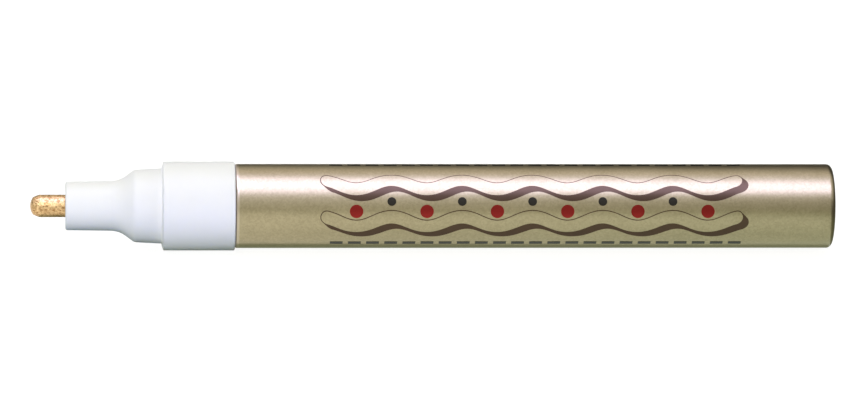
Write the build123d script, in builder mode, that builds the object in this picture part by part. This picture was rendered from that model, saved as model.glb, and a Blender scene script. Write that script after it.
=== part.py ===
from build123d import *

import os
from math import cos, isclose, pi, radians, sin, sqrt, tan

# A paint marker lying on its side with its cap off. Lengths are in millimetres, angles in degrees.
# The origin is the middle of the barrel's flat base, on the marker's axis. The nib points along -X, and +Z is up.
# A station is a distance along the axis from the base towards the nib.

# Barrel, a drawn aluminium can
BARREL_D = 14.4
BARREL_LENGTH = 102.5
BARREL_WALL = 0.45
BASE_THICKNESS = 0.9
BASE_CORNER = 0.9
BASE_INNER_CORNER = 0.5
MOUTH_EDGE_SHARE = 0.75

# Front section, outside
COLLAR_STEP = 0.4
COLLAR_LENGTH = 12.2
COLLAR_EDGE = 0.15
COLLAR_LIP = 0.3
STEP_LENGTH = 0.35
STEP_HEIGHT = 1.175
SHOULDER_LENGTH = 4.6
SHOULDER_TAPER = 0.215
SHOULDER_EDGE = 1.6
FLARE_LENGTH = 2.65
FLARE_FILLET = 4.25
NOZZLE_D = 8.3
NOZZLE_TAPER = 0.11
NOZZLE_LENGTH = 9.1
NOZZLE_EDGE = 0.4

# Front section, inside
SPIGOT_GAP = 0.25
SPIGOT_LENGTH = 14.0
SPIGOT_WALL = 1.0
SPIGOT_LEAD = 0.5
SEAL_RADIUS = 0.6
SEAL_PLACE_SHARES = (0.45, 0.75)
VALVE_DEPTH = 2.0
VALVE_LEDGE = 0.9
NOSE_SETBACK = 0.8
THROAT_EASE = 0.3
GUIDE_LENGTH = 7.6
VENT_COUNT = 6
VENT_WIDTH = 0.7
VENT_DEPTH = 0.45

# Nib, a rod of bonded fibre with a bullet tip
NIB_D = 3.9
NIB_REACH = 6.0
NIB_TRAVEL = 2.4
NIB_DOME = 0.9
NIB_TIP_EDGE = 1.2
NIB_REAR_EDGE = 0.3

# Valve body, which is pressed into the front section from the rear
SEAT_THICKNESS = 2.0
SEAT_HOLE_D = 3.4
SEAT_DEPTH = 0.7
SEAT_HALF_ANGLE = 45
SKIRT_LENGTH = 10.0
SKIRT_WALL = 0.8
SLEEVE_WALL = 0.8
SLEEVE_OVERLAP = 2.4
SLEEVE_SLOT_COUNT = 4
SLEEVE_SLOT_WIDTH = 1.0
SLEEVE_LAND = 0.6
SNAP_RADIUS = 0.4
SNAP_HEIGHT = 0.2
SNAP_PLACE_SHARE = 0.5

# Valve stem, spring and retainer
HEAD_RIM = 0.4
HEAD_THICKNESS = 1.2
STEM_CORE_D = 1.6
FIN_THICKNESS = 0.8
PIN_D = 2.4
PIN_OVERLAP = 2.6
PIN_END = 0.3
SPRING_WIRE = 0.45
SPRING_TURNS = 6
FLANGE_THICKNESS = 0.8
PLUG_LENGTH = 1.5
HUB_LENGTH = 1.5
HUB_WALL = 0.9
WINDOW_COUNT = 4
WINDOW_ARC = 36
WINDOW_WIDTH_SHARE = 0.6

# Mixing ball
BALL_D = 6.35

# Clearances, the overrun of cuts, and how near two places count as one
PRESS_GAP = 0.02
SNAP_GAP = 0.05
NIB_GAP = 0.05
NIB_STOP_GAP = 0.2
SEAT_GAP = 0.04
FIN_GAP = 0.1
PIN_GAP = 0.08
SPRING_GAP = 0.2
BALL_GAP = 0.05
CUT_OVERRUN = 1.0
SAME_PLACE = 1e-5

# Stations of the outside, from the rear
spigot_rear = BARREL_LENGTH - SPIGOT_LENGTH
collar_rear = BARREL_LENGTH
collar_front = collar_rear + COLLAR_LENGTH
shoulder_rear = collar_front + STEP_LENGTH
shoulder_front = shoulder_rear + SHOULDER_LENGTH
nozzle_rear = shoulder_front + FLARE_LENGTH
nozzle_front = nozzle_rear + NOZZLE_LENGTH
nib_tip = nozzle_front + NIB_REACH

# Stations of the inside, from the front
guide_rear = nozzle_front - GUIDE_LENGTH
throat_rear = nozzle_rear - NOSE_SETBACK
chamber_front = shoulder_front - NOSE_SETBACK
seat_front = collar_rear + VALVE_DEPTH
nib_rear = seat_front + NIB_TRAVEL + NIB_STOP_GAP
sleeve_front = nib_rear + SLEEVE_OVERLAP
seat_rear = seat_front - SEAT_THICKNESS
skirt_rear = seat_rear - SKIRT_LENGTH
snap_station = skirt_rear + SNAP_PLACE_SHARE * SKIRT_LENGTH
plug_front = skirt_rear + PLUG_LENGTH
flange_rear = skirt_rear - FLANGE_THICKNESS
hub_rear = flange_rear - HUB_LENGTH
pin_rear = plug_front - PIN_OVERLAP

# Radii, from the outside inwards
barrel_radius = BARREL_D / 2
bore_radius = barrel_radius - BARREL_WALL
mouth_edge = MOUTH_EDGE_SHARE * BARREL_WALL
collar_radius = barrel_radius + COLLAR_STEP
shoulder_rear_radius = collar_radius - STEP_HEIGHT
shoulder_front_radius = shoulder_rear_radius - SHOULDER_TAPER
nozzle_front_radius = NOZZLE_D / 2
nozzle_rear_radius = nozzle_front_radius + NOZZLE_TAPER
spigot_radius = bore_radius - SPIGOT_GAP
seal_center_radius = bore_radius - PRESS_GAP - SEAL_RADIUS
valve_bore_radius = spigot_radius - SPIGOT_WALL
chamber_radius = valve_bore_radius - VALVE_LEDGE
skirt_radius = valve_bore_radius - PRESS_GAP
skirt_bore_radius = skirt_radius - SKIRT_WALL
snap_center_radius = skirt_radius + SNAP_HEIGHT - SNAP_RADIUS
plug_radius = skirt_bore_radius - PRESS_GAP
nib_radius = NIB_D / 2
guide_radius = nib_radius + NIB_GAP
throat_radius = guide_radius + VENT_DEPTH + THROAT_EASE
sleeve_radius = guide_radius + SLEEVE_WALL

# Valve cone: the stem's head lies parallel to the seat, a little behind it
seat_slope = tan(radians(SEAT_HALF_ANGLE))
seat_hole_radius = SEAT_HOLE_D / 2
seat_mouth_radius = seat_hole_radius + SEAT_DEPTH * seat_slope
head_radius = seat_mouth_radius + HEAD_RIM
core_radius = STEM_CORE_D / 2
fin_radius = seat_hole_radius - FIN_GAP
cone_station = seat_rear - SEAT_GAP
head_front = cone_station - HEAD_RIM / seat_slope
head_rear = head_front - HEAD_THICKNESS
core_rear = cone_station + (seat_mouth_radius - core_radius) / seat_slope
fin_rear = cone_station + (seat_mouth_radius - fin_radius) / seat_slope - FIN_THICKNESS / 2

# Guide pin, spring and retainer
pin_radius = PIN_D / 2
hub_bore_radius = pin_radius + PIN_GAP
hub_radius = hub_bore_radius + HUB_WALL
spring_radius = pin_radius + SPRING_GAP + SPRING_WIRE / 2
spring_pitch = (head_rear - plug_front) / SPRING_TURNS
window_radius = (hub_radius + plug_radius) / 2
window_width = WINDOW_WIDTH_SHARE * (plug_radius - hub_radius)

# Half section of everything turned: across is the station, up is the radius
SIDE = Plane(origin=(0, 0, 0), x_dir=(-1, 0, 0), z_dir=(0, 1, 0))


def across(station):
    """The plane square to the axis at a station, facing the nib."""
    return Plane(origin=(-station, 0, 0), x_dir=(0, 1, 0), z_dir=(-1, 0, 0))


def rims(piece, station, radius):
    """The round edges of a turned piece at one station and radius."""
    circles = piece.edges().filter_by(GeomType.CIRCLE)
    there = circles.filter_by(lambda edge: isclose(-edge.arc_center.X, station, abs_tol=SAME_PLACE))
    return there.filter_by(lambda edge: isclose(edge.radius, radius, abs_tol=SAME_PLACE))


# Barrel
with BuildPart() as barrel:
    with BuildSketch(across(0)):
        Circle(barrel_radius)
    extrude(amount=BARREL_LENGTH)
    with BuildSketch(across(BASE_THICKNESS)):
        Circle(bore_radius)
    extrude(amount=BARREL_LENGTH + CUT_OVERRUN, mode=Mode.SUBTRACT)
    fillet(rims(barrel, 0, barrel_radius), BASE_CORNER)
    fillet(rims(barrel, BASE_THICKNESS, bore_radius), BASE_INNER_CORNER)
    fillet(rims(barrel, BARREL_LENGTH, barrel_radius), mouth_edge)
barrel.part.label = "barrel"

# Front section: nozzle, flare, shoulder, collar and the spigot that closes the barrel
with BuildPart() as front_section:
    with BuildSketch(SIDE):
        with BuildLine():
            Polyline(
                (spigot_rear, 0),
                (spigot_rear, spigot_radius),
                (collar_rear, spigot_radius),
                (collar_rear, collar_radius),
                (collar_front, collar_radius),
                (shoulder_rear, shoulder_rear_radius),
                (shoulder_front, shoulder_front_radius),
                (nozzle_rear, nozzle_rear_radius),
                (nozzle_front, nozzle_front_radius),
                (nozzle_front, 0),
                close=True,
            )
        make_face()
    revolve(axis=Axis.X)
    fillet(rims(front_section, nozzle_rear, nozzle_rear_radius), FLARE_FILLET)
    fillet(rims(front_section, shoulder_front, shoulder_front_radius), SHOULDER_EDGE)
    fillet(rims(front_section, nozzle_front, nozzle_front_radius), NOZZLE_EDGE)
    fillet(rims(front_section, collar_front, collar_radius), COLLAR_EDGE)
    fillet(rims(front_section, collar_rear, collar_radius), COLLAR_LIP)
    chamfer(rims(front_section, spigot_rear, spigot_radius), SPIGOT_LEAD)
    # Sealing beads round the spigot
    with BuildSketch(SIDE):
        for place_share in SEAL_PLACE_SHARES:
            with Locations((spigot_rear + place_share * SPIGOT_LENGTH, seal_center_radius)):
                Circle(SEAL_RADIUS)
    revolve(axis=Axis.X)
    # Valve bore, paint chamber and throat
    with BuildSketch(SIDE):
        with BuildLine():
            Polyline(
                (spigot_rear - CUT_OVERRUN, 0),
                (spigot_rear - CUT_OVERRUN, valve_bore_radius),
                (seat_front, valve_bore_radius),
                (seat_front, chamber_radius),
                (chamber_front, chamber_radius),
                (throat_rear, throat_radius),
                (guide_rear, throat_radius),
                (guide_rear, 0),
                close=True,
            )
        make_face()
    revolve(axis=Axis.X, mode=Mode.SUBTRACT)
    # Snap groove for the valve body
    with BuildSketch(SIDE):
        with Locations((snap_station, snap_center_radius)):
            Circle(SNAP_RADIUS + SNAP_GAP)
    revolve(axis=Axis.X, mode=Mode.SUBTRACT)
    # Nib guide: the ribs between the vents carry the nib
    with BuildSketch(across(guide_rear)):
        Circle(guide_radius)
        with PolarLocations(guide_radius, VENT_COUNT):
            Rectangle(2 * VENT_DEPTH, VENT_WIDTH)
    extrude(amount=GUIDE_LENGTH + CUT_OVERRUN, mode=Mode.SUBTRACT)
front_section.part.label = "front_section"

# Nib
with BuildPart() as nib:
    with BuildSketch(SIDE):
        with BuildLine():
            rod = Polyline(
                (nib_tip, 0),
                (nib_rear, 0),
                (nib_rear, nib_radius),
                (nib_tip - NIB_DOME, nib_radius),
            )
            TangentArc(rod @ 0, rod @ 1, tangent=(0, 1))
        make_face()
    revolve(axis=Axis.X)
    fillet(rims(nib, nib_tip - NIB_DOME, nib_radius), NIB_TIP_EDGE)
    chamfer(rims(nib, nib_rear, nib_radius), NIB_REAR_EDGE)
nib.part.label = "nib"

# Valve body: a skirt round the spring, a wall with the seat, and a slotted sleeve that guides the nib's rear end
with BuildPart() as valve_body:
    with BuildSketch(SIDE):
        with BuildLine():
            Polyline(
                (skirt_rear, skirt_bore_radius),
                (skirt_rear, skirt_radius),
                (seat_front, skirt_radius),
                (seat_front, sleeve_radius),
                (sleeve_front, sleeve_radius),
                (sleeve_front, guide_radius),
                (seat_front, guide_radius),
                (seat_front, seat_hole_radius),
                (seat_rear + SEAT_DEPTH, seat_hole_radius),
                (seat_rear, seat_mouth_radius),
                (seat_rear, skirt_bore_radius),
                close=True,
            )
        make_face()
        with Locations((snap_station, snap_center_radius)):
            Circle(SNAP_RADIUS)
    revolve(axis=Axis.X)
    with BuildSketch(across(seat_front + SLEEVE_LAND)):
        with PolarLocations(guide_radius + SLEEVE_WALL / 2, SLEEVE_SLOT_COUNT):
            Rectangle(2 * SLEEVE_WALL, SLEEVE_SLOT_WIDTH)
    extrude(amount=sleeve_front - seat_front + CUT_OVERRUN, mode=Mode.SUBTRACT)
valve_body.part.label = "valve_body"

# Valve stem: fins that push on the nib, a cone that closes the seat, and a pin that guides the spring
with BuildPart() as valve_stem:
    with BuildSketch(SIDE):
        with BuildLine():
            Polyline(
                (pin_rear, 0),
                (pin_rear, pin_radius),
                (head_rear, pin_radius),
                (head_rear, head_radius),
                (head_front, head_radius),
                (core_rear, core_radius),
                (nib_rear, core_radius),
                (nib_rear, 0),
                close=True,
            )
        make_face()
    revolve(axis=Axis.X)
    chamfer(rims(valve_stem, pin_rear, pin_radius), PIN_END)
    with BuildSketch(across(fin_rear)):
        Rectangle(2 * fin_radius, FIN_THICKNESS)
        Rectangle(FIN_THICKNESS, 2 * fin_radius)
    extrude(amount=nib_rear - fin_rear)
valve_stem.part.label = "valve_stem"

# Spring retainer: a plug with paint windows and a hub that guides the stem's pin
with BuildPart() as spring_retainer:
    with BuildSketch(SIDE):
        with BuildLine():
            Polyline(
                (hub_rear, hub_bore_radius),
                (hub_rear, hub_radius),
                (flange_rear, hub_radius),
                (flange_rear, skirt_radius),
                (skirt_rear, skirt_radius),
                (skirt_rear, plug_radius),
                (plug_front, plug_radius),
                (plug_front, hub_bore_radius),
                close=True,
            )
        make_face()
    revolve(axis=Axis.X)
    window_line = Edge.make_circle(window_radius, start_angle=-WINDOW_ARC / 2, end_angle=WINDOW_ARC / 2)
    with BuildSketch(across(flange_rear)):
        with PolarLocations(0, WINDOW_COUNT):
            SlotArc(window_line, window_width)
    extrude(amount=plug_front - flange_rear, mode=Mode.SUBTRACT)
spring_retainer.part.label = "spring_retainer"


def coil_point(turn):
    """A point of the spring's centre line, after a number of turns from the retainer."""
    angle = 2 * pi * turn
    station = plug_front + spring_pitch * turn
    return Vector(-station, spring_radius * cos(angle), spring_radius * sin(angle))


def coil_tangent(turn):
    """The direction of the spring's centre line there."""
    angle = 2 * pi * turn
    reach = 2 * pi * spring_radius
    return Vector(-spring_pitch, -reach * sin(angle), reach * cos(angle)).normalized()


def biarc_joint(start, start_tangent, end, end_tangent):
    """Where two arcs that join two points with given tangents meet, and their tangent there."""
    chord = end - start
    along = chord.dot(start_tangent + end_tangent)
    turned = 2 * (1 - start_tangent.dot(end_tangent))
    reach = (sqrt(along**2 + turned * chord.dot(chord)) - along) / turned
    start_corner = start + start_tangent * reach
    end_corner = end - end_tangent * reach
    return (start_corner + end_corner) * 0.5, (end_corner - start_corner).normalized()


def least_gap(line, wire, turns):
    """The least gap between neighbouring turns of a coil, measured on points along it."""
    points_per_turn = 72
    count = points_per_turn * turns
    points = [line @ (step / count) for step in range(count + 1)]
    far = points_per_turn // 2
    pairs = ((a, b) for i, a in enumerate(points) for b in points[i + far :])
    return min((a - b).length for a, b in pairs) - wire


# Valve spring, with ground ends on the retainer and on the stem's head
with BuildPart() as valve_spring:
    with BuildLine() as coil:
        for quarter in range(4 * SPRING_TURNS):
            start, end = coil_point(quarter / 4), coil_point((quarter + 1) / 4)
            start_tangent, end_tangent = coil_tangent(quarter / 4), coil_tangent((quarter + 1) / 4)
            joint, joint_tangent = biarc_joint(start, start_tangent, end, end_tangent)
            TangentArc(start, joint, tangent=start_tangent)
            TangentArc(joint, end, tangent=joint_tangent)
    with BuildSketch(Plane(origin=coil_point(0), z_dir=coil_tangent(0))):
        Circle(SPRING_WIRE / 2)
    sweep()
    split(bisect_by=across(plug_front), keep=Keep.TOP)
    split(bisect_by=across(head_rear), keep=Keep.BOTTOM)
valve_spring.part.label = "valve_spring"
spring_gap = least_gap(coil.line, SPRING_WIRE, SPRING_TURNS)

# Mixing ball, at rest in the corner between the base and the lower wall
with BuildPart() as mixing_ball:
    ball_station = BASE_THICKNESS + BALL_GAP + BALL_D / 2
    ball_drop = bore_radius - BALL_GAP - BALL_D / 2
    with Locations((-ball_station, 0, -ball_drop)):
        Sphere(BALL_D / 2)
mixing_ball.part.label = "mixing_ball"

os.makedirs("parts", exist_ok=True)
export_step(barrel.part, "parts/barrel.step")
export_step(front_section.part, "parts/front_section.step")
export_step(nib.part, "parts/nib.step")
export_step(valve_body.part, "parts/valve_body.step")
export_step(valve_stem.part, "parts/valve_stem.step")
export_step(spring_retainer.part, "parts/spring_retainer.step")
export_step(valve_spring.part, "parts/valve_spring.step")
export_step(mixing_ball.part, "parts/mixing_ball.step")

print("overall length", round(nib_tip, 3), "collar diameter", round(2 * collar_radius, 3))
print("least gap between the spring's turns", round(spring_gap, 3))
print("spring length", round(head_rear - plug_front, 3))
print("ball travel", round(spigot_rear - BALL_GAP - BALL_D / 2 - ball_station, 3))
print("pressed pin end", round(pin_rear - NIB_TRAVEL, 3), "spigot rear", round(spigot_rear, 3))
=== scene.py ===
import math

import bmesh
import bpy
import numpy as np
from mathutils import Matrix, Vector, noise


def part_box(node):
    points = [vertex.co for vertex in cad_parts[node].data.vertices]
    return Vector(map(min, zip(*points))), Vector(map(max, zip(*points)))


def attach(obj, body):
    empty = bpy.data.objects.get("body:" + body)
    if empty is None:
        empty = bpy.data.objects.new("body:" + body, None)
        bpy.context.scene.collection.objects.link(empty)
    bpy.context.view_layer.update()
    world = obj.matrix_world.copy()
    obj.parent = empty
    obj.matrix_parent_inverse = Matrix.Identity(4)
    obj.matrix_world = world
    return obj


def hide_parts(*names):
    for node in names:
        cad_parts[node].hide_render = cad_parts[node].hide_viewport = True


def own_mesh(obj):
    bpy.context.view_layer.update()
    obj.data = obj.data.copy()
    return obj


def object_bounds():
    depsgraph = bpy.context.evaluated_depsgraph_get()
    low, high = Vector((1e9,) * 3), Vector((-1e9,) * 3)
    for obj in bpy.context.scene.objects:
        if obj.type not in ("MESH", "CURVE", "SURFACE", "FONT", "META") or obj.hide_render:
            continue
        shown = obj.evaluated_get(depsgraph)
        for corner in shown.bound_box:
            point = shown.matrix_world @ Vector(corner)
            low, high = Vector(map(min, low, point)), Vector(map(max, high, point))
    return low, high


# Looks of a paint marker that lies on its side with its cap off. Lengths are in metres, angles in degrees.
# The marker's axis is X, with the nib towards -X and the middle of the flat base at the origin.
# A station is a distance along the axis from the base towards the nib.

MM = 0.001
MICRON = 0.000001
WHITE = (1.0, 1.0, 1.0)

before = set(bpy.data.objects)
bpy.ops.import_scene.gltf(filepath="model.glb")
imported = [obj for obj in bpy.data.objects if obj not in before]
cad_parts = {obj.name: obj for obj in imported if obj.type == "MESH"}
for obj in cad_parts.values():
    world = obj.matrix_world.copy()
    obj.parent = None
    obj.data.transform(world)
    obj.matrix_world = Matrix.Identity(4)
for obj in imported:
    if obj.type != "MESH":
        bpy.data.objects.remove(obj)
cad_low, cad_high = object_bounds()

# Sizes taken from the frame
barrel_low, barrel_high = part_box("barrel")
front_low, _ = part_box("front_section")
nib_low, nib_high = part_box("nib")
spring_low, spring_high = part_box("valve_spring")
barrel_radius = barrel_high.z
floor_level = front_low.z

# Picture, and where the photograph has the marker's base, its axis and the foot of the camera's perpendicular
PICTURE_WIDTH_PX = 854
PICTURE_HEIGHT_PX = 410
BASE_PX = 828.2
AXIS_PX = 205.4
FOOT_PX = 65.0
PX_PER_MM = 5.81
CAMERA_DISTANCE = 1.0
CAMERA_RISE = 18.0
CAMERA_ZOOM_SHARE = 1.007
CAMERA_CLIP_START = 0.01
SENSOR = 0.036

# Lamps. Where each one stands, how it is turned and where it aims is explained at area_light.
LAMPS = {
    "key": {
        "size": (0.45, 0.28), "station": 0.32, "rise": 16.5, "distance": 0.55,
        "power": 2.97, "colour": (1.0, 0.985, 0.86),
    },
    "strip": {
        "size": (1.60, 0.47), "station": 0.07, "rise": 77.2, "distance": 0.85, "turn": -47.0,
        "power": 10.7, "colour": (0.59, 0.575, 1.0), "for_metal": True,
    },
    "top": {
        "size": (0.60, 0.40), "station": 0.20, "rise": 120.0, "distance": 0.70,
        "power": 2.32, "colour": (0.97, 0.965, 0.98),
    },
    "side": {
        "size": (0.25, 0.25), "station": -0.45, "rise": 39.0, "distance": 0.28, "aim": -barrel_low.x,
        "power": 0.95, "colour": (1.0, 0.97, 0.88),
    },
    "behind": {
        "size": (0.50, 0.25), "station": 0.07, "rise": 166.0, "distance": 0.50,
        "power": 1.45, "colour": WHITE,
    },
}


# Shader nodes

def add(tree, kind, inputs=(), **settings):
    """A new shader node. An input's value is a constant or another node's output."""
    made = tree.nodes.new("ShaderNode" + kind)
    for name, value in settings.items():
        setattr(made, name, value)
    for socket, value in dict(inputs).items():
        if isinstance(value, bpy.types.NodeSocket):
            tree.links.new(value, made.inputs[socket])
        else:
            made.inputs[socket].default_value = value
    return made


def calc(tree, operation, *values):
    """The result of a calculation with numbers."""
    return add(tree, "Math", dict(enumerate(values)), operation=operation).outputs["Value"]


def measure(tree, operation, *vectors):
    """The number that a calculation with vectors gives, such as a length."""
    return add(tree, "VectorMath", dict(enumerate(vectors)), operation=operation).outputs["Value"]


def ramp(tree, value, start, end, low=0.0, high=1.0):
    """low where the value is at start, high where it is at end, even between them and level beyond."""
    sockets = {"Value": value, "From Min": start, "From Max": end, "To Min": low, "To Max": high}
    return add(tree, "MapRange", sockets).outputs["Result"]


def spread(tree, value, low, high):
    """A number from 0 to 1, spread between low and high."""
    return ramp(tree, value, 0.0, 1.0, low, high)


def tint(tree, value, dark, light):
    """A colour between dark and light, each of them a constant or another node's output."""
    DARK_SOCKET = 6
    LIGHT_SOCKET = 7
    COLOUR_OUTPUT = 2
    made = add(tree, "Mix", {"Factor": value}, data_type="RGBA")
    for socket, colour in ((DARK_SOCKET, dark), (LIGHT_SOCKET, light)):
        if isinstance(colour, bpy.types.NodeSocket):
            tree.links.new(colour, made.inputs[socket])
        else:
            made.inputs[socket].default_value = (*colour, 1)
    return made.outputs[COLOUR_OUTPUT]


def place(tree, stretch=(1, 1, 1)):
    """Places on the piece, in metres, stretched along the axes."""
    coords = add(tree, "TexCoord").outputs["Object"]
    return add(tree, "Mapping", {"Vector": coords, "Scale": stretch}).outputs["Vector"]


def grain(tree, size, stretch=(1, 1, 1), detail=3.0):
    """Soft noise of about that grain size, from 0 to 1."""
    ROUGHNESS = 0.55
    where = place(tree, stretch)
    sockets = {"Vector": where, "Scale": 1 / size, "Detail": detail, "Roughness": ROUGHNESS}
    return add(tree, "TexNoise", sockets).outputs["Fac"]


def flakes(tree, size):
    """One random number from 0 to 1 in each cell of about that size."""
    cells = add(tree, "TexVoronoi", {"Vector": place(tree), "Scale": 1 / size})
    return add(tree, "SeparateColor", {"Color": cells.outputs["Color"]}).outputs["Red"]


def principled(name, constants):
    """A material with one Principled shader, its constant inputs set, and the tree and shader to build on."""
    material = bpy.data.materials.new(name)
    material.use_nodes = True
    tree = material.node_tree
    shader = tree.nodes["Principled BSDF"]
    for socket, value in constants.items():
        shader.inputs[socket].default_value = value
    return material, tree, shader


def dress(tree, shader, colour, roughness, heights):
    """Gives a shader its colour and roughness, and raises its surface by several (height, depth) pairs,
    one upon the other."""
    tree.links.new(colour, shader.inputs["Base Color"])
    tree.links.new(roughness, shader.inputs["Roughness"])
    normal = None
    for height, depth in heights:
        inputs = {"Height": height, "Distance": depth, "Strength": 1.0}
        if normal is not None:
            inputs["Normal"] = normal
        normal = add(tree, "Bump", inputs).outputs["Normal"]
    tree.links.new(normal, shader.inputs["Normal"])


# Materials

def gold_lacquer():
    """Clear gold lacquer on drawn aluminium: fine metal flake, faint draw lines along the axis, a thin gloss
    coat, bare metal along the trimmed edge of the mouth, made lighter there as a painted highlight, and a
    painted dark line of shade round the base's edge."""
    FLAKE_SIZE = 0.28 * MM
    FLAKE_DEPTH = 1.0 * MICRON
    LINE_SIZE = 0.25 * MM
    LINE_STRETCH = (0.02, 1, 1)
    LINE_DEPTH = 0.8 * MICRON
    CLOUD_SIZE = 6.0 * MM
    DARK_GOLD = (0.33, 0.275, 0.16)
    LIGHT_GOLD = (0.475, 0.40, 0.25)
    ROUGHNESS = (0.30, 0.38)
    EDGE_WIDTH = 0.6 * MM
    EDGE_WAVER = 0.12 * MM
    EDGE_GRAIN = 0.5 * MM
    EDGE_FADE = 0.2 * MM
    BARE_METAL_AND_SHEEN = (0.53, 0.455, 0.34)
    BASE_SHADE_START = -0.85 * MM
    BASE_SHADE_END = -0.25 * MM
    BASE_SHADE_INSIDE = 1.0 * MM
    BASE_SHADE_FADE = 0.5 * MM
    PAINTED_BASE_SHADE = (0.24, 0.20, 0.115)
    material, tree, shader = principled(
        "gold_lacquer",
        {"Metallic": 1.0, "Coat Weight": 0.8, "Coat Roughness": 0.3, "Coat IOR": 1.5},
    )
    flake = flakes(tree, FLAKE_SIZE)
    lines = grain(tree, LINE_SIZE, stretch=LINE_STRETCH)
    cloud = grain(tree, CLOUD_SIZE)
    share = ramp(tree, calc(tree, "ADD", flake, cloud), 0.0, 2.0)
    colour = tint(tree, share, DARK_GOLD, LIGHT_GOLD)

    axes = add(tree, "SeparateXYZ", {"Vector": place(tree)}).outputs
    across = add(tree, "CombineXYZ", {"Y": axes["Y"], "Z": axes["Z"]}).outputs["Vector"]
    # Painted shade: the lacquer darkens in a ring at the base's edge, in place of the shade on its rounded
    # edge.
    shade_ring_start = barrel_radius - BASE_SHADE_INSIDE
    ring = ramp(tree, measure(tree, "LENGTH", across), shade_ring_start, shade_ring_start + BASE_SHADE_FADE)
    rear = ramp(tree, axes["X"], BASE_SHADE_START, BASE_SHADE_END)
    colour = tint(tree, calc(tree, "MULTIPLY", ring, rear), colour, PAINTED_BASE_SHADE)

    # Bare metal along the trimmed edge of the mouth, in a colour set as a painted highlight where the rounded
    # edge catches light.
    edge_end = barrel_low.x + EDGE_WIDTH
    waver = spread(tree, grain(tree, EDGE_GRAIN), edge_end - EDGE_WAVER, edge_end)
    bare_and_sheen = ramp(tree, axes["X"], waver, calc(tree, "ADD", waver, EDGE_FADE), 1.0, 0.0)
    colour = tint(tree, bare_and_sheen, colour, BARE_METAL_AND_SHEEN)
    dress(tree, shader, colour, spread(tree, cloud, *ROUGHNESS), [(flake, FLAKE_DEPTH), (lines, LINE_DEPTH)])
    return material


def white_plastic():
    """Soft-gloss white polypropylene with the fine grain of its mould."""
    CLOUD_SIZE = 4.0 * MM
    CLOUD_DEPTH = 8.0 * MICRON
    FINE_SIZE = 0.12 * MM
    FINE_DETAIL = 2.0
    FINE_DEPTH = 2.0 * MICRON
    DARK_WHITE = (0.865, 0.867, 0.872)
    LIGHT_WHITE = (0.895, 0.897, 0.902)
    ROUGHNESS = (0.34, 0.46)
    material, tree, shader = principled(
        "white_plastic",
        {
            "Subsurface Weight": 0.15, "Subsurface Scale": 0.6 * MM, "Subsurface Radius": (1.0, 0.95, 0.9),
            "Specular IOR Level": 0.2,
        },
    )
    cloud = grain(tree, CLOUD_SIZE)
    fine = grain(tree, FINE_SIZE, detail=FINE_DETAIL)
    colour = tint(tree, cloud, DARK_WHITE, LIGHT_WHITE)
    dress(tree, shader, colour, spread(tree, fine, *ROUGHNESS), [(fine, FINE_DEPTH), (cloud, CLOUD_DEPTH)])
    return material


def painted_fibre():
    """Bonded fibre soaked with gold paint: bright flakes over a mottled brown ground, still wet in places."""
    FLAKE_SIZE = 0.24 * MM
    FLAKE_DEPTH = 5.0 * MICRON
    MOTTLE_SIZE = 0.7 * MM
    FIBRE_SIZE = 0.12 * MM
    FIBRE_STRETCH = (0.15, 1, 1)
    FIBRE_DEPTH = 6.0 * MICRON
    GROUND_END = 0.35
    FLAKE_START = 1.5
    BROWN = (0.305, 0.15, 0.046)
    GOLD = (0.79, 0.55, 0.285)
    ROUGHNESS = (0.26, 0.42)
    material, tree, shader = principled(
        "painted_fibre", {"Metallic": 0.9, "Coat Weight": 0.15, "Coat Roughness": 0.2}
    )
    flake = flakes(tree, FLAKE_SIZE)
    mottle = grain(tree, MOTTLE_SIZE)
    fibre = grain(tree, FIBRE_SIZE, stretch=FIBRE_STRETCH)
    share = ramp(tree, calc(tree, "ADD", flake, mottle), GROUND_END, FLAKE_START)
    colour = tint(tree, share, BROWN, GOLD)
    dress(tree, shader, colour, spread(tree, flake, *ROUGHNESS), [(fibre, FIBRE_DEPTH), (flake, FLAKE_DEPTH)])
    return material


def natural_plastic():
    """Uncoloured polyethylene, milky and slightly mottled."""
    CLOUD_SIZE = 2.0 * MM
    FINE_SIZE = 0.15 * MM
    FINE_DEPTH = 3.0 * MICRON
    DARK_MILK = (0.74, 0.74, 0.69)
    LIGHT_MILK = (0.82, 0.82, 0.78)
    ROUGHNESS = (0.38, 0.5)
    material, tree, shader = principled(
        "natural_plastic",
        {"Subsurface Weight": 0.3, "Subsurface Scale": 1.0 * MM, "Subsurface Radius": (1.0, 0.95, 0.85)},
    )
    fine = grain(tree, FINE_SIZE)
    colour = tint(tree, grain(tree, CLOUD_SIZE), DARK_MILK, LIGHT_MILK)
    dress(tree, shader, colour, spread(tree, fine, *ROUGHNESS), [(fine, FINE_DEPTH)])
    return material


def steel(name, stretch, roughness):
    """Bright steel with fine lines, which are long where the stretch is small."""
    LINE_SIZE = 0.05 * MM
    LINE_DEPTH = 1.0 * MICRON
    CLOUD_SIZE = 1.5 * MM
    DARK_STEEL = (0.52, 0.53, 0.54)
    LIGHT_STEEL = (0.66, 0.66, 0.67)
    material, tree, shader = principled(name, {"Metallic": 1.0})
    lines = grain(tree, LINE_SIZE, stretch=stretch)
    colour = tint(tree, grain(tree, CLOUD_SIZE), DARK_STEEL, LIGHT_STEEL)
    dress(tree, shader, colour, spread(tree, lines, *roughness), [(lines, LINE_DEPTH)])
    return material


def ink(name, dark, light, coat):
    """Clear coloured ink on the metal, which shines through it: a slightly uneven colour and gloss."""
    CLOUD_SIZE = 1.2 * MM
    MESH_SIZE = 0.15 * MM
    MESH_DEPTH = 1.0 * MICRON
    ROUGHNESS = (0.29, 0.39)
    material, tree, shader = principled(name, {"Metallic": 1.0, "Coat Weight": coat, "Coat Roughness": 0.3})
    mesh = grain(tree, MESH_SIZE)
    colour = tint(tree, grain(tree, CLOUD_SIZE), dark, light)
    dress(tree, shader, colour, spread(tree, mesh, *ROUGHNESS), [(mesh, MESH_DEPTH)])
    return material


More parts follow.
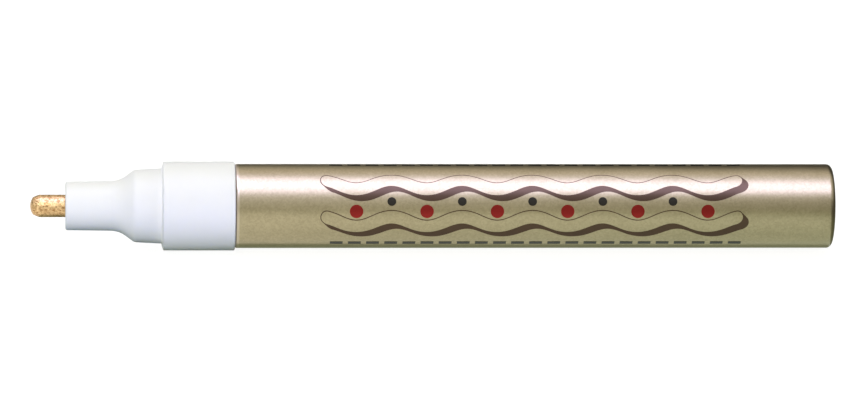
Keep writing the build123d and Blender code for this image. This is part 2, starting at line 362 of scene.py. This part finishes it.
lacquer = gold_lacquer()
plastic = white_plastic()
paint = painted_fibre()
natural = natural_plastic()
wire_steel = steel("spring_steel", stretch=(1, 1, 1), roughness=(0.22, 0.36))
ball_steel = steel("ball_steel", stretch=(1, 1, 0.2), roughness=(0.1, 0.2))
red_ink = ink("red_ink", dark=(0.26, 0.009, 0.008), light=(0.31, 0.013, 0.011), coat=0.4)
brown_ink = ink("brown_ink", dark=(0.066, 0.038, 0.022), light=(0.084, 0.048, 0.028), coat=0.4)
dark_ink = ink("dark_ink", dark=(0.014, 0.012, 0.008), light=(0.024, 0.020, 0.014), coat=0.6)

node_materials = {
    "barrel": lacquer,
    "front_section": plastic,
    "valve_body": natural,
    "valve_stem": natural,
    "spring_retainer": natural,
    "mixing_ball": ball_steel,
}
for node_name, node_material in node_materials.items():
    node_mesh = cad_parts[node_name].data
    node_mesh.materials.clear()
    node_mesh.materials.append(node_material)


# Pieces

def new_object(name, data):
    """A new object in the scene."""
    made = bpy.data.objects.new(name, data)
    bpy.context.scene.collection.objects.link(made)
    return made


def piece(name, mesh, material, body, replaced=None):
    """A piece of the marker that rides on a body, and may stand for a node of the frame."""
    mesh.materials.append(material)
    made = new_object(name, mesh)
    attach(made, body)
    if replaced:
        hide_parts(replaced)
    return made


def smooth(mesh):
    """Shades a mesh smooth, apart from the edges where it turns sharply."""
    SHARP_ANGLE = 40.0
    mesh.polygons.foreach_set("use_smooth", [True] * len(mesh.polygons))
    mesh.set_sharp_from_angle(angle=math.radians(SHARP_ANGLE))


def tube_mesh(name, rings, closed_ends=True):
    """A mesh of rings of points, each joined to the next, with its two ends closed or open."""
    count = len(rings[0])
    verts = [point for ring in rings for point in ring]
    faces = []
    for row in range(len(rings) - 1):
        for i in range(count):
            j = (i + 1) % count
            low, high = row * count, (row + 1) * count
            faces.append((low + i, low + j, high + j, high + i))
    if closed_ends:
        faces.append(tuple(reversed(range(count))))
        faces.append(tuple(range(len(verts) - count, len(verts))))
    mesh = bpy.data.meshes.new(name)
    mesh.from_pydata(verts, [], faces)
    smooth(mesh)
    return mesh


def turned_outline(node, step):
    """The outline of a turned CAD node from its front end to its rear end: places along X, and the radius at
    each of them, about step apart."""
    DIGITS = 7
    corners = set()
    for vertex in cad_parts[node].data.vertices:
        x, y, z = vertex.co
        corners.add((round(x, DIGITS), round(math.hypot(y, z), DIGITS)))
    corners = np.array(sorted(corners))
    runs = np.hypot(*np.diff(corners, axis=0).T)
    along = np.concatenate([[0], np.cumsum(runs)])
    places = np.linspace(0, along[-1], int(along[-1] / step))
    return np.interp(places, along, corners[:, 0]), np.interp(places, along, corners[:, 1])


def spoke_at(angle):
    """A unit vector across the axis, at that angle in radians."""
    return Vector((0, math.cos(angle), math.sin(angle)))


def unit_noise(at):
    """Smooth noise from 0 to 1."""
    return 0.5 + 0.5 * noise.noise(at)


def fibre_nib():
    """The nib, with a worn tip, grooves between its fibres and lumps of dried paint, all cut into the
    outline of the CAD node."""
    STEP = 0.06 * MM
    SIDES = 144
    GROOVE_SIZE = 0.22 * MM
    GROOVE_STRETCH = 0.12
    GROOVE_DEPTH = 0.02 * MM
    LUMP_SIZE = 0.6 * MM
    LUMP_DEPTH = 0.035 * MM
    WORN_LENGTH = 1.7 * MM
    WORN_SHARE = 0.36
    WORN_POWER = 1.35
    xs, radii = turned_outline("nib", STEP)
    ahead = np.clip(1 - (xs - nib_low.x) / WORN_LENGTH, 0, 1)
    radii = np.minimum(radii, nib_high.z * (1 - WORN_SHARE * ahead ** WORN_POWER))
    rings = []
    for x, radius in zip(xs, radii):
        ring = []
        for i in range(SIDES):
            spoke = spoke_at(2 * math.pi * i / SIDES)
            at = spoke * radius + Vector((x, 0, 0))
            groove = unit_noise(Vector((at.x * GROOVE_STRETCH, at.y, at.z)) / GROOVE_SIZE)
            lump = unit_noise(at / LUMP_SIZE)
            sunk = GROOVE_DEPTH * groove + LUMP_DEPTH * lump
            ring.append(spoke * max(radius - sunk, 0) + Vector((x, 0, 0)))
        rings.append(ring)
    piece("nib_fibre", tube_mesh("nib_fibre", rings), paint, "nib", "nib")


def spring_coil():
    """The valve spring: round wire wound at a steady pitch, with both ends ground flat."""
    TURNS = 6
    STEPS_PER_TURN = 40
    WIRE = 0.45 * MM
    WIRE_SIDES = 16
    length = spring_high.x - spring_low.x
    radius = spring_high.z - WIRE / 2
    pitch = length / TURNS
    rings = []
    for step in range(TURNS * STEPS_PER_TURN + 1):
        angle = 2 * math.pi * step / STEPS_PER_TURN
        spoke = spoke_at(angle)
        along = Vector((-pitch / (2 * math.pi), -radius * math.sin(angle), radius * math.cos(angle)))
        across = along.normalized().cross(spoke)
        centre = spoke * radius + Vector((spring_high.x - pitch * step / STEPS_PER_TURN, 0, 0))
        ring = []
        for i in range(WIRE_SIDES):
            turn = 2 * math.pi * i / WIRE_SIDES
            at = centre + (spoke * math.cos(turn) + across * math.sin(turn)) * (WIRE / 2)
            at.x = min(max(at.x, spring_low.x), spring_high.x)
            ring.append(at)
        rings.append(ring)
    mesh = tube_mesh("spring_coil", rings)
    coil = piece("spring_coil", mesh, wire_steel, "body", "valve_spring")
    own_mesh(coil)


# Print

def on_barrel(station, rise, height):
    """A place on the barrel. Its rise is measured round the barrel in metres, upwards from the line that
    faces the camera."""
    angle = math.radians(CAMERA_RISE) + rise / barrel_radius
    radius = barrel_radius + height
    return Vector((-station, -radius * math.cos(angle), radius * math.sin(angle)))


def film(name, shapes, thickness, material):
    """A printed film on the barrel. A shape is its stations, and the lower and upper rise at each of them."""
    SINK = 0.01 * MM
    STEP = 0.4 * MM
    bm = bmesh.new()
    for stations, lower, upper in shapes:
        rows = max(1, math.ceil(np.max(upper - lower) / STEP))
        shares = np.linspace(0, 1, rows + 1)
        columns = [
            [(station, low + (high - low) * share) for share in shares]
            for station, low, high in zip(stations, lower, upper)
        ]
        bottom, top = (
            [[bm.verts.new(on_barrel(*at, height)) for at in column] for column in columns]
            for height in (-SINK, thickness)
        )
        for i in range(len(columns) - 1):
            for j in range(rows):
                for sheet in (bottom, top):
                    bm.faces.new((sheet[i][j], sheet[i + 1][j], sheet[i + 1][j + 1], sheet[i][j + 1]))
            for j in (0, rows):
                bm.faces.new((bottom[i][j], bottom[i + 1][j], top[i + 1][j], top[i][j]))
        for i in (0, len(columns) - 1):
            for j in range(rows):
                bm.faces.new((bottom[i][j], bottom[i][j + 1], top[i][j + 1], top[i][j]))
    bmesh.ops.recalc_face_normals(bm, faces=bm.faces[:])
    mesh = bpy.data.meshes.new(name)
    bm.to_mesh(mesh)
    bm.free()
    smooth(mesh)
    piece(name, mesh, material, "body")


def round_end():
    """Shares of a round end: how far along it, and how wide it is there."""
    POINTS = 24
    FIRST_ANGLE = 6.0
    angles = np.radians(np.linspace(FIRST_ANGLE, 90, POINTS))
    return 1 - np.cos(angles), np.sin(angles)


def bar(rear, front, middle, width):
    """A straight bar with square ends."""
    return np.array([rear, front]), np.full(2, middle - width / 2), np.full(2, middle + width / 2)


def dot(station, middle, width):
    """A round dot."""
    along, wide = round_end()
    stations = np.concatenate([along, 2 - along[-2::-1]]) * width / 2 + station - width / 2
    half = np.concatenate([wide, wide[-2::-1]]) * width / 2
    return stations, middle - half, middle + half


def stroke(rear, front, width, wave):
    """A wavy stroke with round ends. wave gives the middle's rise at a station."""
    STEP = 0.4 * MM
    along, wide = round_end()
    radius = width / 2
    straight = np.linspace(rear + radius, front - radius, int((front - rear) / STEP))[1:-1]
    stations = np.concatenate([rear + along * radius, straight, front - along[::-1] * radius])
    half = np.concatenate([wide, np.ones(len(straight)), wide[::-1]]) * radius
    middle = wave(stations)
    half = half * np.hypot(1, np.gradient(middle, stations))
    return stations, middle - half, middle + half


def drop_shadow(shape, shift):
    """All that a shape covers as it moves towards the base and downwards by shift."""
    STEPS = 25
    stations, lower, upper = shape
    grid = np.concatenate([np.linspace(stations[0] - shift, stations[0], STEPS)[:-1], stations])
    lows, highs = [], []
    for moved in np.linspace(0, shift, STEPS):
        lows.append(np.interp(grid + moved, stations, lower, left=np.inf, right=np.inf) - moved)
        highs.append(np.interp(grid + moved, stations, upper, left=-np.inf, right=-np.inf) - moved)
    return grid, np.min(lows, axis=0), np.max(highs, axis=0)


def printed_band():
    """A plain ornament along the barrel: two wavy strokes in the colour of the barrel, with a thin brown line
    round them and a drop shadow, a row of red and dark dots between them, and dashed lines at the edges."""
    BAND_FRONT = 88.0 * MM
    BAND_REAR = 16.0 * MM
    WAVE_LENGTH = 12.0 * MM
    SWING = 0.85 * MM
    STROKE_RISES = (3.8 * MM, -2.8 * MM)
    STROKE_WIDTH = 2.2 * MM
    LINE_WIDTH = 0.15 * MM
    SHADOW_SHIFT = 0.9 * MM
    DOTS_RISE = -0.1 * MM
    RED_WIDTH = 2.3 * MM
    DARK_WIDTH = 1.5 * MM
    DASH_LENGTH = 2.2 * MM
    DASH_GAP = 0.9 * MM
    DASH_WIDTH = 0.8 * MM
    DASH_RISES = {"print_dashes_low": -7.6 * MM, "print_dashes_high": 9.5 * MM}
    SHADOW_THICKNESS = 0.02 * MM
    LINE_THICKNESS = 0.03 * MM
    FILL_THICKNESS = 0.04 * MM

    def wave(rise):
        """A function that gives the rise of a wavy line at a station."""
        return lambda stations: rise + SWING * np.cos(2 * math.pi * (stations - BAND_REAR) / WAVE_LENGTH)

    fills, lines, shadows = [], [], []
    for rise in STROKE_RISES:
        fills.append(stroke(BAND_REAR, BAND_FRONT, STROKE_WIDTH, wave(rise)))
        line_width = STROKE_WIDTH + 2 * LINE_WIDTH
        lines.append(stroke(BAND_REAR - LINE_WIDTH, BAND_FRONT + LINE_WIDTH, line_width, wave(rise)))
        shadows.append(drop_shadow(lines[-1], SHADOW_SHIFT))
    film("print_shadows", shadows, SHADOW_THICKNESS, brown_ink)
    film("print_lines", lines, LINE_THICKNESS, brown_ink)
    film("print_strokes", fills, FILL_THICKNESS, lacquer)

    dots_wave = wave(DOTS_RISE)
    dot_stations = np.arange(BAND_REAR + WAVE_LENGTH / 2, BAND_FRONT, WAVE_LENGTH / 2)
    for name, chosen, width, material in (
        ("print_red_dots", dot_stations[0::2], RED_WIDTH, red_ink),
        ("print_dark_dots", dot_stations[1::2], DARK_WIDTH, dark_ink),
    ):
        dots = [dot(station, dots_wave(station), width) for station in chosen]
        film(name, dots, LINE_THICKNESS, material)

    pitch = DASH_LENGTH + DASH_GAP
    rears = [BAND_REAR + i * pitch for i in range(int((BAND_FRONT - BAND_REAR) / pitch))]
    for name, rise in DASH_RISES.items():
        dashes = [bar(rear, rear + DASH_LENGTH, rise, DASH_WIDTH) for rear in rears]
        film(name, dashes, LINE_THICKNESS, dark_ink)


fibre_nib()
spring_coil()
printed_band()


# Stage

def mirrored(tree):
    """1 for rays that come off a shiny surface or through glass, and 0 for others."""
    path = add(tree, "LightPath").outputs
    return calc(tree, "MAXIMUM", path["Is Glossy Ray"], path["Is Transmission Ray"])


def white_world():
    """A soft dome of light, which is plain white where it is seen straight, mirrored or through glass."""
    DOME_LEVEL = 0.274
    DOME_COLOUR = (0.90, 0.94, 0.93)
    world = bpy.data.worlds.new("studio")
    world.use_nodes = True
    bpy.context.scene.world = world
    tree = world.node_tree
    dome = tree.nodes["Background"]
    dome.inputs["Color"].default_value = (*DOME_COLOUR, 1)
    dome.inputs["Strength"].default_value = DOME_LEVEL
    white = add(tree, "Background", {"Color": (*WHITE, 1), "Strength": 1.0})
    camera_ray = add(tree, "LightPath").outputs["Is Camera Ray"]
    seen = calc(tree, "MAXIMUM", camera_ray, mirrored(tree))
    mixed = add(tree, "MixShader", {0: seen, 1: dome.outputs[0], 2: white.outputs[0]})
    tree.links.new(mixed.outputs[0], tree.nodes["World Output"].inputs["Surface"])


def glow_material(name):
    """A material that only glows, and the tree and shader to build on."""
    material = bpy.data.materials.new(name)
    material.use_nodes = True
    tree = material.node_tree
    tree.nodes.remove(tree.nodes["Principled BSDF"])
    glow = add(tree, "Emission", {"Color": (*WHITE, 1)})
    tree.links.new(glow.outputs[0], tree.nodes["Material Output"].inputs["Surface"])
    return material, tree, glow


def disc(name, radius, level):
    """A flat round disc."""
    SIDES = 96
    bm = bmesh.new()
    bmesh.ops.create_circle(bm, cap_ends=True, segments=SIDES, radius=radius)
    bmesh.ops.translate(bm, verts=bm.verts, vec=(0, 0, level))
    mesh = bpy.data.meshes.new(name)
    bm.to_mesh(mesh)
    bm.free()
    return new_object(name, mesh)


def pale_floor():
    """A pale floor. Where it is seen straight, it is white, keeps the marker's shadow, and stays white far
    from the lamps. Where the metal mirrors it, it grows darker towards the base and its shadow is deeper. The
    light that it throws back onto the marker is dim under the marker and blue in front."""
    RADIUS = 6.0
    SEEN_COLOUR = (0.28, 0.28, 0.28)
    SEEN_LIFT = 0.88
    LIT_END = 0.25
    WHITE_START = 0.9
    MIRRORED_COLOUR = (0.50, 0.48, 0.43)
    LIFT_AT_NIB = 0.69
    LIFT_AT_BASE = 0.51
    GLOW_AT_NIB = (1.0, 0.985, 0.97)
    GLOW_AT_BASE = (0.84, 1.0, 0.86)
    NEAR_COLOUR = (0.02, 0.10, 0.11)
    FAR_COLOUR = (0.03, 0.10, 0.88)
    NEAR_END = 8.0 * MM
    FAR_END = 30.0 * MM
    floor = disc("floor", RADIUS, floor_level)
    material, tree, glow = glow_material("floor")
    where = add(tree, "TexCoord").outputs["Object"]
    axes = add(tree, "SeparateXYZ", {"Vector": where}).outputs

    share = ramp(tree, axes["X"], cad_low.x, 0.0)
    tree.links.new(spread(tree, share, LIFT_AT_NIB, LIFT_AT_BASE), glow.inputs["Strength"])
    tree.links.new(tint(tree, share, GLOW_AT_NIB, GLOW_AT_BASE), glow.inputs["Color"])
    dim = add(tree, "BsdfDiffuse", {"Color": (*MIRRORED_COLOUR, 1)})
    in_metal = add(tree, "AddShader", {0: dim.outputs[0], 1: glow.outputs[0]})

    unlit = ramp(tree, measure(tree, "LENGTH", where), LIT_END, WHITE_START)
    lift = spread(tree, unlit, SEEN_LIFT, 1.0)
    bright = add(tree, "Emission", {"Color": (*WHITE, 1), "Strength": lift})
    pale = add(tree, "BsdfDiffuse", {"Color": (*SEEN_COLOUR, 1)})
    straight = add(tree, "AddShader", {0: pale.outputs[0], 1: bright.outputs[0]})

    in_front = ramp(tree, axes["Y"], -NEAR_END, -FAR_END)
    thrown = add(tree, "BsdfDiffuse", {"Color": tint(tree, in_front, NEAR_COLOUR, FAR_COLOUR)})

    camera_ray = add(tree, "LightPath").outputs["Is Camera Ray"]
    plain = add(tree, "MixShader", {0: camera_ray, 1: thrown.outputs[0], 2: straight.outputs[0]})
    mixed = add(tree, "MixShader", {0: mirrored(tree), 1: plain.outputs[0], 2: in_metal.outputs[0]})
    tree.links.new(mixed.outputs[0], tree.nodes["Material Output"].inputs["Surface"])
    floor.data.materials.append(material)


def only_mirrored(card):
    """Makes a piece of the set show in reflections only."""
    card.visible_camera = False
    card.visible_diffuse = False
    card.visible_shadow = False
    card.visible_transmission = False


def dark_flag():
    """A band round the set, seen only in reflections, which gives the metal its dark lines.
    It is darkest low down, behind the marker and past its base, where it is also higher, and fades into the
    white of the dome. Its pattern changes along X from LEFT_END to RIGHT_FOLD. To the left of that it stays
    the same, and to the right it runs back, and faster, as far as RIGHT_END."""
    SIDES = 96
    RADIUS = 0.6
    DARK_RISE = 9.5
    WHITE_RISE = 43.5
    TOP_RISE = 70.0
    DARK_SIDE = (1.25, 0.65, 0.0)
    LOW_COLOUR = (1.0, 0.99, 0.74)
    BACK_COLOUR = (0.95, 0.86, 0.70)
    LIGHT_END_SHARE = -0.65
    DARK_END_SHARE = 0.60
    LEVEL_IN_FRONT = 0.55
    LEVEL_BEHIND = 0.03
    LEAN = (-1.28, -0.16, 1.0)
    LEFT_END = -0.10
    RIGHT_END = -0.04
    RIGHT_FOLD = 0.33
    FOLD_SLOPE = 1.8
    dark_height, white_height, top_height = (
        RADIUS * math.tan(math.radians(rise)) for rise in (DARK_RISE, WHITE_RISE, TOP_RISE)
    )
    angles = [2 * math.pi * i / SIDES for i in range(SIDES)]
    rings = [
        [(RADIUS * math.cos(angle), RADIUS * math.sin(angle), level) for angle in angles]
        for level in (floor_level, top_height)
    ]
    flag = new_object("flag", tube_mesh("flag", rings, closed_ends=False))
    flag.location.x = (cad_low.x + cad_high.x) / 2
    only_mirrored(flag)
    material, tree, glow = glow_material("flag")

    axes = add(tree, "SeparateXYZ", {"Vector": add(tree, "TexCoord").outputs["Object"]}).outputs
    beyond = calc(tree, "MULTIPLY_ADD", axes["X"], -FOLD_SLOPE, (1 + FOLD_SLOPE) * RIGHT_FOLD)
    folded = calc(tree, "MINIMUM", axes["X"], calc(tree, "MAXIMUM", beyond, RIGHT_END))
    along = calc(tree, "MAXIMUM", folded, LEFT_END)
    where = add(tree, "CombineXYZ", {"X": along, "Y": axes["Y"], "Z": axes["Z"]}).outputs["Vector"]

    darker = measure(tree, "DOT_PRODUCT", where, DARK_SIDE)
    light_end, dark_end = LIGHT_END_SHARE * RADIUS, DARK_END_SHARE * RADIUS
    dark = ramp(tree, darker, light_end, dark_end, LEVEL_IN_FRONT, LEVEL_BEHIND)
    share = ramp(tree, measure(tree, "DOT_PRODUCT", where, LEAN), dark_height, white_height)
    tree.links.new(spread(tree, share, dark, 1.0), glow.inputs["Strength"])
    high_colour = tint(tree, ramp(tree, axes["Y"], 0.0, RADIUS), WHITE, BACK_COLOUR)
    tree.links.new(tint(tree, share, LOW_COLOUR, high_colour), glow.inputs["Color"])
    flag.data.materials.append(material)


def mirrored_card(name, corners, level, colour):
    """A flat card that is seen only in reflections."""
    mesh = bpy.data.meshes.new(name)
    mesh.from_pydata(corners, [], [tuple(range(len(corners)))])
    only_mirrored(new_object(name, mesh))
    material, _, glow = glow_material(name)
    glow.inputs["Strength"].default_value = level
    glow.inputs["Color"].default_value = (*colour, 1)
    mesh.materials.append(material)


def painted_shade_card(name, corners, level):
    """A dark card of painted shade on the floor, seen only in reflections, with corners at those places along
    X and Y.
    """
    LIFT = 0.1 * MM
    COLOUR = (0.92, 1.0, 0.66)
    mirrored_card(name, [(x, y, floor_level + LIFT) for x, y in corners], level, COLOUR)


def painted_shade_cards():
    """Cards of painted shade on the floor, which the metal mirrors. One paints the marker's shadow under it,
    which draws the dark line along the bottom of the barrel, and one helps with the line round the edge of
    its base. The slanted edge of the third, far in front, lowers the dark line in the middle of the barrel
    towards the base."""
    UNDER_NEAR = -3.7 * MM
    UNDER_NEAR_AT_MOUTH = -4.35 * MM
    UNDER_NEAR_AT_TIP = -2.0 * MM
    UNDER_FAR = 8.0 * MM
    UNDER_LEVEL = 0.30
    BASE_FRONT = 0.6 * MM
    BASE_REAR = 35.0 * MM
    BASE_NEAR = -3.0 * MM
    BASE_FAR = 90.0 * MM
    BASE_CORNER = (14.0 * MM, -70.0 * MM)
    BASE_LEVEL = 0.27
    SLANT_START = (-90.0 * MM, -300.0 * MM)
    SLANT_END = (0.0, -55.0 * MM)
    SLANT_SIDE = 300.0 * MM
    SLANT_LEVEL = 0.48
    mouth = barrel_low.x
    tip = nib_low.x
    under = (
        (0.0, UNDER_NEAR), (0.0, UNDER_FAR),
        (tip, UNDER_FAR), (tip, UNDER_NEAR_AT_TIP), (mouth, UNDER_NEAR_AT_MOUTH),
    )
    base = (
        (BASE_REAR, BASE_CORNER[1]), (BASE_REAR, BASE_FAR),
        (BASE_FRONT, BASE_FAR), (BASE_FRONT, BASE_NEAR), BASE_CORNER,
    )
    slanted = (SLANT_START, (SLANT_SIDE, SLANT_START[1]), (SLANT_SIDE, SLANT_END[1]), SLANT_END)
    # Painted shade: dark cards that the metal mirrors in place of the marker's shadow and of dark
    # surroundings.
    painted_shade_card("painted_shade_under", under, UNDER_LEVEL)
    painted_shade_card("painted_shade_base", base, BASE_LEVEL)
    painted_shade_card("painted_shade_slanted", slanted, SLANT_LEVEL)


def end_card():
    """A dark card past the base, seen only in reflections, that paints the dark reflected line round the edge
    of the base.
    """
    STATION = -25.0 * MM
    REACH = 60.0 * MM
    TOP = 12.0 * MM
    LEVEL = 0.14
    COLOUR = (1.0, 0.93, 0.74)
    outline = ((-REACH, floor_level), (REACH, floor_level), (REACH, TOP), (-REACH, TOP))
    mirrored_card("painted_reflection_end", [(-STATION, y, z) for y, z in outline], LEVEL, COLOUR)


def nib_card():
    """A bright card close to the nib, which gives the wet paint its broad highlight."""
    DISTANCE = 40.0 * MM
    LOW_RISE = 27.0
    HIGH_RISE = 48.0
    REACH = 28.0 * MM
    LEVEL = 4.6
    COLOUR = (0.86, 0.95, 1.0)
    front, rear = nib_low.x - REACH, front_low.x
    corners = []
    for x, rise in ((front, LOW_RISE), (front, HIGH_RISE), (rear, HIGH_RISE), (rear, LOW_RISE)):
        up = math.radians(rise)
        corners.append((x, -DISTANCE * math.cos(up), DISTANCE * math.sin(up)))
    mirrored_card("card_nib", corners, LEVEL, COLOUR)


def area_light(name, size, station, rise, distance, power, colour, turn=0.0, aim=None, for_metal=False):
    """A soft rectangular lamp, so far from that station of the axis. Its rise is an angle about the axis,
    upwards from level on the camera's side. It looks straight at the axis, or at the station that it aims at,
    and is turned in its own plane. A lamp for metal shows in reflections only, and the others never do."""
    lamp = bpy.data.lights.new(name, "AREA")
    lamp.shape = "RECTANGLE"
    lamp.size, lamp.size_y = size
    lamp.energy = power
    lamp.color = colour
    made = new_object(name, lamp)
    up = math.radians(rise)
    made.location = Vector((-station, 0, 0)) + Vector((0, -math.cos(up), math.sin(up))) * distance
    target = Vector((-(station if aim is None else aim), 0, 0))
    back = (made.location - target).normalized()
    level = Vector((1, 0, 0)) - back * back.x
    across = Matrix.Rotation(math.radians(turn), 3, back) @ level.normalized()
    made.rotation_euler = Matrix((across, back.cross(across), back)).transposed().to_euler()
    made.visible_camera = False
    made.visible_diffuse = not for_metal
    made.visible_glossy = for_metal


def picture_camera():
    """The camera, as far away and as high as the photograph's, and turned to the middle of the picture."""
    focal_px = CAMERA_ZOOM_SHARE * PX_PER_MM * CAMERA_DISTANCE / MM
    foot = Vector((-(BASE_PX - FOOT_PX) / PX_PER_MM * MM, 0, 0))
    rise = math.radians(CAMERA_RISE)
    back = Vector((0, -math.cos(rise), math.sin(rise)))
    right = Vector((1, 0, 0))
    up = back.cross(right)
    turn = math.atan(((PICTURE_WIDTH_PX - 1) / 2 - FOOT_PX) / focal_px)
    lower = ((PICTURE_HEIGHT_PX - 1) / 2 - AXIS_PX) / focal_px * CAMERA_DISTANCE
    data = bpy.data.cameras.new("camera")
    data.sensor_width = SENSOR / MM
    data.lens = SENSOR / MM * focal_px / PICTURE_WIDTH_PX
    data.clip_start = CAMERA_CLIP_START
    camera = new_object("camera", data)
    camera.location = foot + back * CAMERA_DISTANCE - up * lower
    turned = Matrix.Rotation(-turn, 3, up)
    camera.rotation_euler = Matrix((turned @ right, up, turned @ back)).transposed().to_euler()
    bpy.context.scene.camera = camera


white_world()
pale_floor()
dark_flag()
for lamp_name, lamp_settings in LAMPS.items():
    area_light(lamp_name, **lamp_settings)
painted_shade_cards()
end_card()
nib_card()
picture_camera()
bpy.context.scene.view_settings.view_transform = "Standard"
